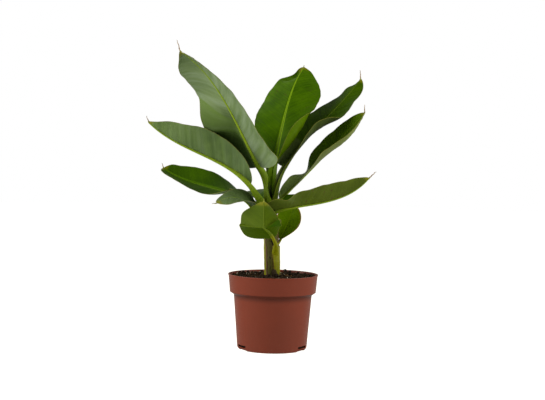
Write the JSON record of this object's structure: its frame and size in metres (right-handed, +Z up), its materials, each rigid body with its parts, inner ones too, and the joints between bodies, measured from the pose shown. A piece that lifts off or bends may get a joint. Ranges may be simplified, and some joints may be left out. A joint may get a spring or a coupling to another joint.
{
  "type": "potted banana plant",
  "caption": "Young banana plant with a short pseudostem and broad ribbed leaves fanning out on channelled stalks, growing from soil in a round terracotta-coloured nursery pot.",
  "frame": {"origin": "centre of the flat underside of the pot", "axes": "+Z up, -Y towards the front, from which the long blue-green leaf leans to the upper left, +X to the right"},
  "size_m": [0.4219, 0.3791, 0.5637],
  "materials": {
    "pot": "satin moulded plastic, terracotta coloured",
    "soil": "moist dark peat with pale grains",
    "stem": "smooth olive leaf sheaths with brown marks",
    "stalk": "smooth yellow-green leaf stalks and ribs",
    "blade": "satin green above, pale blue-green bloom below",
    "dry_tip": "dry tan thread"
  },
  "bodies": {
    "root": {"pot": "pot", "soil": "soil", "pseudostem": "stem", "stalk_upper_left": "stalk", "stalk_left": "stalk", "stalk_lower_left": "stalk", "stalk_small_left": "stalk", "stalk_upper_right": "stalk", "stalk_high_right": "stalk", "stalk_right": "stalk", "stalk_lower_right": "stalk", "stalk_small_front": "stalk", "stalk_small_right": "stalk", "stalk_back": "stalk", "stalk_lower_back": "stalk", "rib_upper_left": "stalk", "rib_left": "stalk", "rib_lower_left": "stalk", "rib_small_left": "stalk", "rib_upper_right": "stalk", "rib_high_right": "stalk", "rib_right": "stalk", "rib_lower_right": "stalk", "rib_small_front": "stalk", "rib_small_right": "stalk", "rib_back": "stalk", "rib_lower_back": "stalk", "blade_upper_left": "blade", "blade_left": "blade", "blade_lower_left": "blade", "blade_small_left": "blade", "blade_upper_right": "blade", "blade_high_right": "blade", "blade_right": "blade", "blade_lower_right": "blade", "blade_small_front": "blade", "blade_small_right": "blade", "blade_back": "blade", "blade_lower_back": "blade"}
  },
  "joints": []
}
